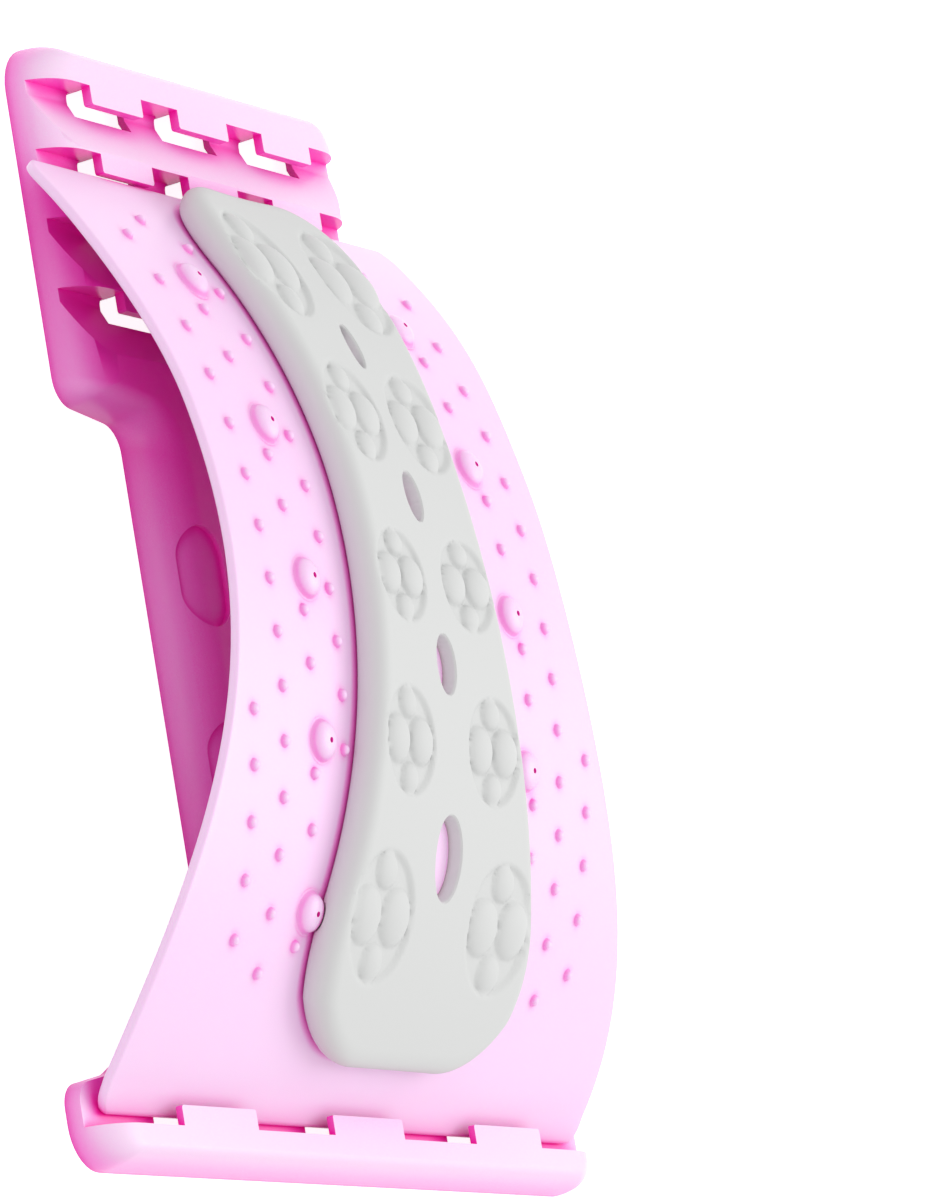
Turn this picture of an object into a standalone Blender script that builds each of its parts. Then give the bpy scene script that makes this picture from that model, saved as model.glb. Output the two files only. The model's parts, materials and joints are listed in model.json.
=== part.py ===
# Back stretcher: a notched base, a sprung arch board hooked into it, a soft centre pad and ten magnets.
# Metres, +Z up, the base lies on the floor at z = 0. X runs from the head end (-X) to the foot end (+X).
import math

import bmesh
import bpy
from mathutils import Vector

# Clearance between touching pieces, and how far a cutter runs past what it cuts
FIT_GAP = 0.0003
CUT_EXTRA = 0.002

# Base moulding
BASE_LENGTH = 0.395
BASE_HEIGHT = 0.016
BASE_WALL = 0.0025
HEAD_BLOCK_LENGTH = 0.128
HEAD_BLOCK_WIDTH = 0.206
HEAD_CORNER_RADIUS = 0.018
SHOULDER_RADIUS = 0.010
SHOULDER_SLANT = 0.005
WAIST_WIDTH = 0.1305
FOOT_BLOCK_LENGTH = 0.033
FOOT_BLOCK_WIDTH = 0.335
FOOT_CORNER_RADIUS = 0.015
FOOT_INNER_RADIUS = 0.009
FOOT_FLARE_LENGTH = 0.040
FOOT_FLARE_WIDTH = 0.285

# The base's wall is rolled over from its low rim up, tight at both ends (X) and wide along its sides (Y)
RIM_HEIGHT = 0.0005
END_ROLL = 0.007
SIDE_ROLL = 0.020
SMALLEST_FILLET = 0.0008
ROLL_STEPS = 6

# Notch rows at the head end
ROW_COUNT = 4
FIRST_ROW = 0.015
ROW_PITCH = 0.0247
ROW_DEPTH = 0.009
ROW_FLOOR_LENGTH = 0.0049
ROW_LAND = 0.001
HOOK_ROW = 2
HEAD_TAB_COUNT = 3
HEAD_TAB_PITCH = 0.057
HEAD_TAB_WIDTH = 0.033
HEAD_TAB_REACH = 0.0068
HEAD_TAB_THICKNESS = 0.0035
HEAD_HOLE_REACH = 0.0098
HOLE_SIDE_MARGIN = 0.0018
WALL_OPENING_MARGIN = 0.0025
TAB_ROOT = 0.0008

# Foot groove, open at both sides of the base
FOOT_LIP_LENGTH = 0.0135
FOOT_GROOVE_DEPTH = 0.0105
FOOT_GROOVE_FLOOR = 0.019
FOOT_RAMP_LENGTH = 0.024
FOOT_TAB_COUNT = 3
FOOT_TAB_PITCH = 0.0974
FOOT_TAB_WIDTH = 0.047
FOOT_TAB_REACH = 0.0070
FOOT_TAB_THICKNESS = 0.0025

# Long reliefs moulded into the middle of the base
RELIEF_LENGTH = 0.036
RELIEF_WIDTH = 0.020
RELIEF_DEPTH = 0.0018
RELIEF_OFFSET = 0.045
RELIEF_STATIONS = (0.187, 0.256)
RELIEF_SEGMENTS = 16

# Arch board; its stations are given for these two ends and stretch with the real distance between them
BOARD_LAYOUT_START = 0.0397
BOARD_LAYOUT_END = 0.3750
BOARD_THICKNESS = 0.0035
BOARD_RISE = 0.0482
BOARD_CROWN_STATION = 0.2085
BOARD_HALF_SPAN = 0.1695
BOARD_DROP_SQUARE = 0.0460
BOARD_DROP_QUARTIC = 0.0135
HEAD_SEAT_RISE = 0.00415
FOOT_SEAT_RISE = 0.0074
SLOPE_STEP = 0.0005
BOARD_HEAD_WIDTH = 0.242
BOARD_WAIST_WIDTH = 0.227
BOARD_FOOT_WIDTH = 0.320
BOARD_HEAD_STATION = 0.073
BOARD_WAIST_START = 0.143
BOARD_WAIST_END = 0.155
BOARD_FOOT_STATION = 0.367
BOARD_FLARE_POWER = 1.36
BOARD_CORNER_RADIUS = 0.008
BOARD_FOOT_CORNER_RADIUS = 0.007
BOARD_STEPS = 46
BOARD_CORNER_STEPS = 4
NOSE_INSET = 0.0065
NOSE_STRAIGHT = 0.0082
NOSE_STEPS = 4
# Share of the half thickness that the board's edge chamfer takes
EDGE_CHAMFER_SHARE = 0.45

# Domes, magnets and nubs on the board
DOME_COUNT = 5
DOME_PITCH = 0.0551
DOME_FIRST_STATION = 0.0924
DOME_OFFSET = 0.070
DOME_RADIUS = 0.0070
DOME_HEIGHT = 0.0042
DOME_VENT_RADIUS = 0.0010
DOME_RINGS = 3
DOME_SEGMENTS = 14
VENT_SEGMENTS = 8
MAGNET_RADIUS = 0.0040
MAGNET_THICKNESS = 0.0030
MAGNET_ROOF = 0.0030
MAGNET_SEGMENTS = 12
NUB_STEP = 0.00912
NUB_FIRST_STATION = 0.0682
NUB_ROW_COUNT = 30
NUB_COLUMN_COUNT = 4
NUB_COLUMN_PITCH = 0.0194
NUB_FIRST_OFFSET = 0.0556
NUB_RADIUS = 0.0020
NUB_HEIGHT = 0.0019
NUB_SEGMENTS = 6
NUB_PAD_MARGIN = 0.0005
NUB_EDGE_MARGIN = 0.012
NUB_SINK = 0.0008

# Soft pad, this thick along its edges and dished along its middle
PAD_THICKNESS = 0.0118
PAD_DISH = 0.0014
PAD_START_STATION = 0.0520
PAD_END_STATION = 0.3560
PAD_HEAD_WIDTH = 0.098
PAD_WAIST_WIDTH = 0.081
PAD_FOOT_WIDTH = 0.145
PAD_HEAD_STATION = 0.075
PAD_WAIST_STATION = 0.160
PAD_FOOT_STATION = 0.330
PAD_HEAD_RADIUS = 0.030
PAD_FOOT_RADIUS = 0.048
PAD_STEPS = 26
PAD_EDGE_ROLL = 0.0060
PAD_DRAW_IN = 0.003
PAD_BULGE_SHARE = 0.45

# How the pad widens from its waist: the power of the curve, and the share of its run where it stops
PAD_HEAD_FLARE = (1.5, 1.15)
PAD_FOOT_FLARE = (1.9, 1.05)

# Sections in the pad's rounded ends: square root of the share of the end radius, share of the thickness
PAD_HEAD_TAPER = ((0.12, 0.55), (0.32, 0.9), (0.55, 1.0), (0.8, 1.0))
PAD_FOOT_TAPER = ((0.85, 1.0), (0.65, 1.0), (0.45, 1.0), (0.25, 0.9), (0.1, 0.55))

# Flower shaped knobs sunk in the pad, head to foot: station, offset from the middle, length, width
FLOWERS = (
    (0.0865, 0.0267, 0.0430, 0.0380),
    (0.1417, 0.0213, 0.0370, 0.0350),
    (0.1995, 0.0223, 0.0330, 0.0330),
    (0.2550, 0.0285, 0.0370, 0.0344),
    (0.3108, 0.0400, 0.0420, 0.0420),
)
FLOWER_DEPTH = 0.0016
FLOWER_SEGMENTS = 16
FLOWER_FLOOR_SCALE = 0.90

# Two large knobs side by side and two small ones at the ends of a flower, as shares of its length and width
SIDE_KNOB_LENGTH = 0.215
SIDE_KNOB_WIDTH = 0.215
SIDE_KNOB_OFFSET = 0.235
END_KNOB_LENGTH = 0.135
END_KNOB_WIDTH = 0.150
END_KNOB_OFFSET = 0.335

# How high the knobs stand over the pad, how deep they are rooted, and the rings that round them
KNOB_RISE = 0.0016
END_KNOB_RISE = 0.0010
KNOB_SINK = 0.0010
END_KNOB_SINK = 0.0007
KNOB_SEGMENTS = 10
KNOB_SHOULDER = (0.72, 0.84)

# Slots along the middle of the pad, head to foot: station, length, width
PAD_SLOTS = (
    (0.1150, 0.0165, 0.0070),
    (0.1700, 0.0175, 0.0095),
    (0.2280, 0.0200, 0.0120),
    (0.2910, 0.0270, 0.0170),
)
SLOT_SEGMENTS = 12
SLOT_FLOOR_SCALE = 0.9

# Raised ovals of the board that stand in the slots
BOSS_HEIGHT = 0.0058

HEAD_X = -BASE_LENGTH / 2
FOOT_X = BASE_LENGTH / 2
BOARD_HALF = BOARD_THICKNESS / 2
HOOK_X = HEAD_X + FIRST_ROW + (HOOK_ROW - 1) * ROW_PITCH
NOSE_X = FOOT_X - FOOT_LIP_LENGTH - NOSE_INSET
NOSE_Z = BASE_HEIGHT - FOOT_GROOVE_DEPTH + FIT_GAP + BOARD_HALF


def clear_scene():
    for item in list(bpy.data.objects):
        bpy.data.objects.remove(item, do_unlink=True)


def make_material(name, colour, roughness, metallic=0.0):
    material = bpy.data.materials.new(name)
    material.use_nodes = True
    shader = material.node_tree.nodes["Principled BSDF"]
    shader.inputs["Base Color"].default_value = (*colour, 1.0)
    shader.inputs["Roughness"].default_value = roughness
    shader.inputs["Metallic"].default_value = metallic
    return material


def link_object(name, bm, material=None):
    bmesh.ops.remove_doubles(bm, verts=bm.verts, dist=1e-6)
    bmesh.ops.recalc_face_normals(bm, faces=bm.faces)
    mesh = bpy.data.meshes.new(name)
    bm.to_mesh(mesh)
    bm.free()
    item = bpy.data.objects.new(name, mesh)
    bpy.context.scene.collection.objects.link(item)
    if material:
        mesh.materials.append(material)
    return item


def as_cutter(item):
    item.hide_render = True
    item.display_type = "WIRE"
    return item


def add_boolean(item, cutter, operation):
    modifier = item.modifiers.new(cutter.name, "BOOLEAN")
    modifier.operation = operation
    modifier.solver = "EXACT"
    modifier.object = cutter


def shade(item, angle=math.radians(30)):
    item.data.shade_smooth()
    item.data.set_sharp_from_angle(angle=angle)


def loft(bm, rings):
    # Skin closed rings of equal length and cap both ends
    layers = [[bm.verts.new(point) for point in ring] for ring in rings]
    count = len(rings[0])
    for low, high in zip(layers, layers[1:]):
        for i in range(count):
            j = (i + 1) % count
            bm.faces.new((low[i], low[j], high[j], high[i]))
    bm.faces.new(list(reversed(layers[0])))
    bm.faces.new(layers[-1])


def prism_y(bm, profile, low_y, high_y):
    # Extrude an X-Z profile along Y
    rings = [[(x, y, z) for x, z in profile] for y in (low_y, high_y)]
    loft(bm, rings)


def block(bm, low, high):
    profile = [(low[0], low[2]), (high[0], low[2]), (high[0], high[2]), (low[0], high[2])]
    prism_y(bm, profile, low[1], high[1])


# Outline of the base

def base_corners():
    # Corner points and radii of the +Y half, from the foot end to the head end
    head, foot, waist = HEAD_BLOCK_WIDTH / 2, FOOT_BLOCK_WIDTH / 2, WAIST_WIDTH / 2
    head_inner = HEAD_X + HEAD_BLOCK_LENGTH
    foot_inner = FOOT_X - FOOT_BLOCK_LENGTH
    flare = FOOT_FLARE_WIDTH / 2
    return [
        (FOOT_X, foot, FOOT_CORNER_RADIUS, 4),
        (foot_inner + SHOULDER_SLANT, foot, FOOT_INNER_RADIUS, 4),
        (foot_inner, flare, SHOULDER_RADIUS, 3),
        (foot_inner - FOOT_FLARE_LENGTH, waist, SHOULDER_RADIUS, 3),
        (head_inner + SHOULDER_SLANT, waist, SHOULDER_RADIUS, 4),
        (head_inner, head, SHOULDER_RADIUS, 4),
        (HEAD_X, head, HEAD_CORNER_RADIUS, 5),
    ]


def turn_at(points, i):
    # Directions into and out of a corner, the normals to its inner side, and its turn
    count = len(points)
    before, here, after = points[i - 1], points[i], points[(i + 1) % count]
    into, out = (here - before).normalized(), (after - here).normalized()
    normals = Vector((-into.y, into.x)), Vector((-out.y, out.x))
    return into, out, normals, into.x * out.y - into.y * out.x


def base_ring(inset_x, inset_y, z):
    # The base's outline drawn in by one amount at its ends and another along its sides
    half = base_corners()
    corners = half + [(x, -y, r, n) for x, y, r, n in reversed(half)]
    outline = [Vector(corner[:2]) for corner in corners]
    drawn = []
    for i, here in enumerate(outline):
        _, _, (normal_in, normal_out), _ = turn_at(outline, i)
        mitre = (normal_in + normal_out) / (1 + normal_in.dot(normal_out))
        drawn.append(here + Vector((mitre.x * inset_x, mitre.y * inset_y)))
    points = []
    for i, corner in enumerate(drawn):
        into, out, (normal_in, _), turn = turn_at(drawn, i)
        radius = max(corners[i][2] - math.copysign((inset_x + inset_y) / 2, turn), SMALLEST_FILLET)
        half_turn = math.atan2(abs(turn), into.dot(out)) / 2
        reach = radius * math.tan(half_turn)
        side = math.copysign(1, turn)
        centre = corner - into * reach + normal_in * radius * side
        start = corner - into * reach - centre
        steps = corners[i][3]
        for k in range(steps + 1):
            angle = side * 2 * half_turn * k / steps
            c, s = math.cos(angle), math.sin(angle)
            points.append((centre.x + start.x * c - start.y * s, centre.y + start.x * s + start.y * c, z))
    return points


def rolled_solid(bm, wall, low_z, height):
    # A closed block of the base outline whose upper edge is rolled over; wall shrinks it for the hollow
    rings = [base_ring(wall, wall, low_z)]
    for k in range(ROLL_STEPS + 1):
        angle = math.pi / 2 * k / ROLL_STEPS
        draw = 1 - math.cos(angle)
        z = RIM_HEIGHT + (height - wall - RIM_HEIGHT) * math.sin(angle)
        rings.append(base_ring(wall + (END_ROLL - wall) * draw, wall + (SIDE_ROLL - wall) * draw, z))
    loft(bm, rings)


# Notch rows

def row_x(index):
    return HEAD_X + FIRST_ROW + index * ROW_PITCH


def row_floor_z():
    return BASE_HEIGHT - ROW_DEPTH


def ramp_offsets():
    # Distances from a row's wall to its ramp's foot and top
    return ROW_FLOOR_LENGTH, ROW_PITCH - ROW_LAND


def groove_profile(index):
    # It runs a fit gap over the base, little enough that two rows' cutters never meet
    wall_x = row_x(index)
    foot, crest = ramp_offsets()
    over = (crest - foot) / ROW_DEPTH * FIT_GAP
    return [
        (wall_x, BASE_HEIGHT + FIT_GAP),
        (wall_x, row_floor_z()),
        (wall_x + foot, row_floor_z()),
        (wall_x + crest + over, BASE_HEIGHT + FIT_GAP),
    ]


def tab_centres(count, pitch):
    return [(i - (count - 1) / 2) * pitch for i in range(count)]


def foot_wall_x():
    return FOOT_X - FOOT_LIP_LENGTH


def foot_groove_profile():
    floor_z = BASE_HEIGHT - FOOT_GROOVE_DEPTH
    floor_x = foot_wall_x() - FOOT_GROOVE_FLOOR
    top = BASE_HEIGHT + CUT_EXTRA
    over = CUT_EXTRA * FOOT_RAMP_LENGTH / FOOT_GROOVE_DEPTH
    return [
        (foot_wall_x(), top),
        (floor_x - FOOT_RAMP_LENGTH - over, top),
        (floor_x, floor_z),
        (foot_wall_x(), floor_z),
    ]


def underside_profile():
    # The hollow's roof follows the notches one wall below them
    wall = BASE_WALL
    roof = BASE_HEIGHT - wall
    row_roof = row_floor_z() - wall
    foot_roof = BASE_HEIGHT - FOOT_GROOVE_DEPTH - wall
    low = -CUT_EXTRA
    foot, crest = ramp_offsets()
    slope = ROW_DEPTH / (crest - foot)
    upright = wall * math.hypot(1, slope)
    points = [(HEAD_X - CUT_EXTRA, low), (HEAD_X - CUT_EXTRA, roof), (row_x(0) - wall, roof)]
    for i in range(ROW_COUNT):
        bend = row_x(i) + foot + (upright - wall) / slope
        end = bend + (roof - row_roof) / slope
        if i < ROW_COUNT - 1:
            end = row_x(i + 1) - wall
        points += [(row_x(i) - wall, row_roof), (bend, row_roof), (end, row_roof + (end - bend) * slope)]
    floor_x = foot_wall_x() - FOOT_GROOVE_FLOOR
    points += [
        (floor_x - FOOT_RAMP_LENGTH - wall / 2, roof),
        (floor_x - wall / 2, foot_roof),
        (foot_wall_x() + wall, foot_roof),
        (foot_wall_x() + wall, roof),
        (FOOT_X + CUT_EXTRA, roof),
        (FOOT_X + CUT_EXTRA, low),
    ]
    return points


def make_tab_row(bm, root_x, reach, thickness, width, centres):
    # Each tab starts inside the wall that carries it
    for y in centres:
        start = root_x - math.copysign(TAB_ROOT, reach)
        low_x, high_x = sorted((start, root_x + reach))
        block(bm, (low_x, y - width / 2, BASE_HEIGHT - thickness), (high_x, y + width / 2, BASE_HEIGHT))


def make_hole_row(bm, root_x, reach, width, centres):
    for y in centres:
        low_x, high_x = sorted((root_x, root_x + reach))
        half = width / 2 + HOLE_SIDE_MARGIN
        block(bm, (low_x, y - half, -CUT_EXTRA), (high_x, y + half, BASE_HEIGHT + CUT_EXTRA))


def relief_ring(station, y, z, grow):
    # A stadium outline along X
    points = []
    radius = RELIEF_WIDTH / 2 + grow
    straight = (RELIEF_LENGTH - RELIEF_WIDTH) / 2
    for k in range(RELIEF_SEGMENTS):
        angle = 2 * math.pi * (k + 0.5) / RELIEF_SEGMENTS - math.pi / 2
        end = math.copysign(straight, math.cos(angle))
        points.append((HEAD_X + station + end + radius * math.cos(angle), y + radius * math.sin(angle), z))
    return points


def make_base():
    bm = bmesh.new()
    rolled_solid(bm, 0.0, 0.0, BASE_HEIGHT)
    base = link_object("base", bm, make_material("base_abs", (0.93, 0.55, 0.86), 0.35))

    half = HEAD_BLOCK_WIDTH / 2 + CUT_EXTRA
    bm = bmesh.new()
    for i in range(ROW_COUNT):
        prism_y(bm, groove_profile(i), -half, half)
    foot_half = FOOT_BLOCK_WIDTH / 2 + CUT_EXTRA
    prism_y(bm, foot_groove_profile(), -foot_half, foot_half)
    add_boolean(base, as_cutter(link_object("cut_grooves", bm)), "DIFFERENCE")

    bm = bmesh.new()
    rolled_solid(bm, BASE_WALL, -CUT_EXTRA, BASE_HEIGHT)
    hollow = as_cutter(link_object("cut_hollow", bm))
    bm = bmesh.new()
    prism_y(bm, underside_profile(), -FOOT_BLOCK_WIDTH, FOOT_BLOCK_WIDTH)
    add_boolean(hollow, as_cutter(link_object("cut_roof", bm)), "INTERSECT")
    add_boolean(base, hollow, "DIFFERENCE")

    head_centres = tab_centres(HEAD_TAB_COUNT, HEAD_TAB_PITCH)
    foot_centres = tab_centres(FOOT_TAB_COUNT, FOOT_TAB_PITCH)
    bm = bmesh.new()
    for i in range(ROW_COUNT):
        make_hole_row(bm, row_x(i), HEAD_HOLE_REACH, HEAD_TAB_WIDTH, head_centres)
    make_hole_row(bm, foot_wall_x(), -FOOT_TAB_REACH, FOOT_TAB_WIDTH, foot_centres)
    add_boolean(base, as_cutter(link_object("cut_holes", bm)), "DIFFERENCE")

    # Each row's wall is open under its tabs
    bm = bmesh.new()
    half = HEAD_TAB_WIDTH / 2 - WALL_OPENING_MARGIN
    for i in range(ROW_COUNT):
        low_x, high_x = row_x(i) - BASE_WALL - FIT_GAP, row_x(i) + FIT_GAP
        for y in head_centres:
            block(bm, (low_x, y - half, -CUT_EXTRA), (high_x, y + half, BASE_HEIGHT - HEAD_TAB_THICKNESS))
    add_boolean(base, as_cutter(link_object("cut_wall_openings", bm)), "DIFFERENCE")

    bm = bmesh.new()
    for i in range(ROW_COUNT):
        make_tab_row(bm, row_x(i), HEAD_TAB_REACH, HEAD_TAB_THICKNESS, HEAD_TAB_WIDTH, head_centres)
    make_tab_row(bm, foot_wall_x(), -FOOT_TAB_REACH, FOOT_TAB_THICKNESS, FOOT_TAB_WIDTH, foot_centres)
    add_boolean(base, as_cutter(link_object("add_tabs", bm)), "UNION")

    bm = bmesh.new()
    for station in RELIEF_STATIONS:
        for y in (-RELIEF_OFFSET, RELIEF_OFFSET):
            low = relief_ring(station, y, BASE_HEIGHT - RELIEF_DEPTH, -RELIEF_DEPTH)
            high = relief_ring(station, y, BASE_HEIGHT + RELIEF_DEPTH, RELIEF_DEPTH)
            loft(bm, [low, high])
    add_boolean(base, as_cutter(link_object("cut_reliefs", bm)), "DIFFERENCE")
    shade(base)
    return base


# Arch board

def board_stretch():
    return (NOSE_X - HOOK_X) / (BOARD_LAYOUT_END - BOARD_LAYOUT_START)


def station_x(station):
    return HOOK_X + (station - BOARD_LAYOUT_START) * board_stretch()


def station_of(x):
    return BOARD_LAYOUT_START + (x - HOOK_X) / board_stretch()


def arch_seat(x):
    # The point that the arch passes through on this side of its crown, so that its end lies in its seat
    if x < station_x(BOARD_CROWN_STATION):
        return HOOK_X + HEAD_TAB_REACH + FIT_GAP, row_floor_z() + HEAD_SEAT_RISE
    return NOSE_X - NOSE_STRAIGHT, BASE_HEIGHT - FOOT_GROOVE_DEPTH + FOOT_SEAT_RISE


def arch_drop(x):
    u = (x - station_x(BOARD_CROWN_STATION)) / BOARD_HALF_SPAN
    return BOARD_DROP_SQUARE * u * u + BOARD_DROP_QUARTIC * u ** 4


def arch_z(x):
    crown_z = BASE_HEIGHT + BOARD_RISE
    seat_x, seat_z = arch_seat(x)
    return crown_z - (crown_z - seat_z) * arch_drop(x) / arch_drop(seat_x)


def arch_slope(x):
    return (arch_z(x + SLOPE_STEP) - arch_z(x - SLOPE_STEP)) / (2 * SLOPE_STEP)


def board_start():
    # The upper corner of the board's head end stops just short of the tab tips of its row
    x = HOOK_X + HEAD_TAB_REACH + FIT_GAP
    for _ in range(12):
        x = HOOK_X + HEAD_TAB_REACH + FIT_GAP + BOARD_HALF * math.sin(math.atan(arch_slope(x)))
    return x


BOARD_START_X = board_start()


def board_z(x):
    # Height of the board's middle surface: a smooth arch, then a straight run into the foot groove
    straight_x = NOSE_X - NOSE_STRAIGHT
    if x <= straight_x:
        return arch_z(x)
    share = (x - straight_x) / NOSE_STRAIGHT
    return arch_z(straight_x) * (1 - share) + NOSE_Z * share


def board_slope(x):
    return (board_z(x + SLOPE_STEP) - board_z(x - SLOPE_STEP)) / (2 * SLOPE_STEP)


def board_normal(x):
    slope = board_slope(min(max(x, BOARD_START_X), NOSE_X))
    return Vector((-slope, 0.0, 1.0)).normalized()


def on_board(x, y, height):
    # A point at a height above the board's middle surface
    return Vector((x, y, board_z(x))) + board_normal(x) * height


def smoothstep(t):
    t = min(max(t, 0.0), 1.0)
    return t * t * (3 - 2 * t)


def corner_loss(distance, radius):
    # How much a rounded corner takes from the half width near an end
    if distance >= radius:
        return 0.0
    return radius - math.sqrt(max(radius * radius - (radius - distance) ** 2, 0.0))


def board_half_width(x):
    station = station_of(x)
    head, waist, foot = BOARD_HEAD_WIDTH / 2, BOARD_WAIST_WIDTH / 2, BOARD_FOOT_WIDTH / 2
    if station < BOARD_WAIST_START:
        share = (BOARD_WAIST_START - station) / (BOARD_WAIST_START - BOARD_HEAD_STATION)
        width = waist + (head - waist) * smoothstep(share)
    else:
        share = max(station - BOARD_WAIST_END, 0.0) / (BOARD_FOOT_STATION - BOARD_WAIST_END)
        width = waist + (foot - waist) * smoothstep(share ** BOARD_FLARE_POWER)
    width -= corner_loss(x - BOARD_START_X, BOARD_CORNER_RADIUS)
    return width - corner_loss(NOSE_X + BOARD_HALF - x, BOARD_FOOT_CORNER_RADIUS)


def board_stations():
    # Closer together in the rounded corners at both ends
    points = []
    for k in range(BOARD_CORNER_STEPS):
        points.append(BOARD_START_X + BOARD_CORNER_RADIUS * (k / BOARD_CORNER_STEPS) ** 2)
    start, end = BOARD_START_X + BOARD_CORNER_RADIUS, NOSE_X - NOSE_STRAIGHT
    points += [start + (end - start) * k / BOARD_STEPS for k in range(BOARD_STEPS + 1)]
    return points + [NOSE_X - NOSE_STRAIGHT / 2, NOSE_X]


def slab_corners(w, half):
    # Across and up from the middle of a chamfered slab
    soft = half * EDGE_CHAMFER_SHARE
    corners = [(-w, -half + soft), (-w + soft, -half), (w - soft, -half), (w, -half + soft)]
    return corners + [(y, -h) for y, h in reversed(corners)]


def board_section(x):
    return [on_board(x, y, h) for y, h in slab_corners(board_half_width(x), BOARD_HALF)]


def nose_sections():
    # The foot end is a half round nose about the line that the board turns on
    along = Vector((board_normal(NOSE_X).z, 0.0, -board_normal(NOSE_X).x))
    sections = []
    for k in range(1, NOSE_STEPS):
        angle = math.pi / 2 * k / NOSE_STEPS
        w = board_half_width(NOSE_X + BOARD_HALF * math.sin(angle))
        centre = Vector((NOSE_X, 0.0, NOSE_Z)) + along * BOARD_HALF * math.sin(angle)
        corners = slab_corners(w, BOARD_HALF * math.cos(angle))
        sections.append([centre + Vector((0, y, 0)) + board_normal(NOSE_X) * h for y, h in corners])
    return sections


def dome_places():
    for i in range(DOME_COUNT):
        x = station_x(DOME_FIRST_STATION + i * DOME_PITCH)
        for side, y in (("left", -DOME_OFFSET), ("right", DOME_OFFSET)):
            yield i + 1, side, x, y


def nub_places():
    # A staggered lattice between the pad and the board's edge, left open around the domes
    for row in range(NUB_ROW_COUNT):
        x = station_x(NUB_FIRST_STATION + row * NUB_STEP)
        for column in range(NUB_COLUMN_COUNT):
            if (row + column) % 2 == 0:
                continue
            offset = NUB_FIRST_OFFSET + column * NUB_COLUMN_PITCH
            if offset < pad_half_width(x) + NUB_RADIUS + NUB_PAD_MARGIN:
                continue
            if offset > board_half_width(x) - NUB_EDGE_MARGIN:
                continue
            near = min(math.hypot(x - dx, offset - DOME_OFFSET) for _, _, dx, _ in dome_places())
            if near < DOME_RADIUS + NUB_RADIUS:
                continue
            yield x, offset
            yield x, -offset


def cap(bm, x, y, radius, height, base_height, rings, segments, sink):
    # A low dome standing on the board's upper face
    centre = on_board(x, y, 0)
    normal = board_normal(x)
    along = Vector((normal.z, 0.0, -normal.x))
    across = Vector((0.0, 1.0, 0.0))
    levels = [(-sink, radius)]
    for k in range(rings):
        angle = math.pi / 2 * k / rings
        levels.append((height * math.sin(angle), radius * math.cos(angle)))
    layers = []
    for level, size in levels:
        turn = [2 * math.pi * j / segments for j in range(segments)]
        base_point = centre + normal * (base_height + level)
        layers.append([base_point + along * size * math.cos(a) + across * size * math.sin(a) for a in turn])
    verts = [[bm.verts.new(p) for p in layer] for layer in layers]
    for low, high in zip(verts, verts[1:]):
        for j in range(segments):
            k = (j + 1) % segments
            bm.faces.new((low[j], low[k], high[k], high[j]))
    bm.faces.new(list(reversed(verts[0])))
    tip = bm.verts.new(centre + normal * (base_height + height))
    for j in range(segments):
        bm.faces.new((verts[-1][j], verts[-1][(j + 1) % segments], tip))


def drum(bm, x, y, radius, low, high, segments):
    # A cylinder square to the board between two heights
    normal = board_normal(x)
    along, across = Vector((normal.z, 0.0, -normal.x)), Vector((0.0, 1.0, 0.0))
    turn = [2 * math.pi * j / segments for j in range(segments)]
    rings = []
    for level in (low, high):
        centre = on_board(x, y, level)
        rings.append([centre + (along * math.cos(a) + across * math.sin(a)) * radius for a in turn])
    loft(bm, rings)


def magnet_top():
    return BOARD_HALF + DOME_HEIGHT - MAGNET_ROOF


def make_board():
    bm = bmesh.new()
    loft(bm, [board_section(x) for x in board_stations()] + nose_sections())
    board = link_object("arch_board", bm, make_material("board_abs", (0.98, 0.72, 0.96), 0.30))

    bm = bmesh.new()
    for _, _, x, y in dome_places():
        cap(bm, x, y, DOME_RADIUS, DOME_HEIGHT, BOARD_HALF, DOME_RINGS, DOME_SEGMENTS, NUB_SINK)
    for x, y in nub_places():
        cap(bm, x, y, NUB_RADIUS, NUB_HEIGHT, BOARD_HALF, 1, NUB_SEGMENTS, NUB_SINK)
    add_boolean(board, as_cutter(link_object("add_domes", bm)), "UNION")

    # The bosses fit the slots' narrow lower ends with the usual gap
    bm = bmesh.new()
    for station, length, width in PAD_SLOTS:
        size = [span * SLOT_FLOOR_SCALE - 2 * FIT_GAP for span in (length, width)]
        low, high = BOARD_HALF - NUB_SINK, BOARD_HALF + BOSS_HEIGHT
        oval(bm, station_x(station), 0.0, *size, low, high, SLOT_SEGMENTS, 1.0)
    add_boolean(board, as_cutter(link_object("add_slot_bosses", bm)), "UNION")

    bm = bmesh.new()
    for _, _, x, y in dome_places():
        low, high = -BOARD_HALF - CUT_EXTRA, magnet_top() + FIT_GAP
        drum(bm, x, y, MAGNET_RADIUS + FIT_GAP, low, high, MAGNET_SEGMENTS)
    add_boolean(board, as_cutter(link_object("cut_magnet_seats", bm)), "DIFFERENCE")

    bm = bmesh.new()
    for _, _, x, y in dome_places():
        high = BOARD_HALF + DOME_HEIGHT + CUT_EXTRA
        drum(bm, x, y, DOME_VENT_RADIUS, magnet_top(), high, VENT_SEGMENTS)
    add_boolean(board, as_cutter(link_object("cut_vents", bm)), "DIFFERENCE")
    shade(board)
    return board


def make_magnets():
    ferrite = make_material("magnet_ferrite", (0.05, 0.05, 0.055), 0.45, 0.3)
    low = magnet_top() - MAGNET_THICKNESS
    magnets = []
    for number, side, x, y in dome_places():
        bm = bmesh.new()
        drum(bm, x, y, MAGNET_RADIUS, low, magnet_top(), MAGNET_SEGMENTS)
        magnets.append(link_object(f"magnet_{side}_{number}", bm, ferrite))
        shade(magnets[-1])
    return magnets


# Soft pad

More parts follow.
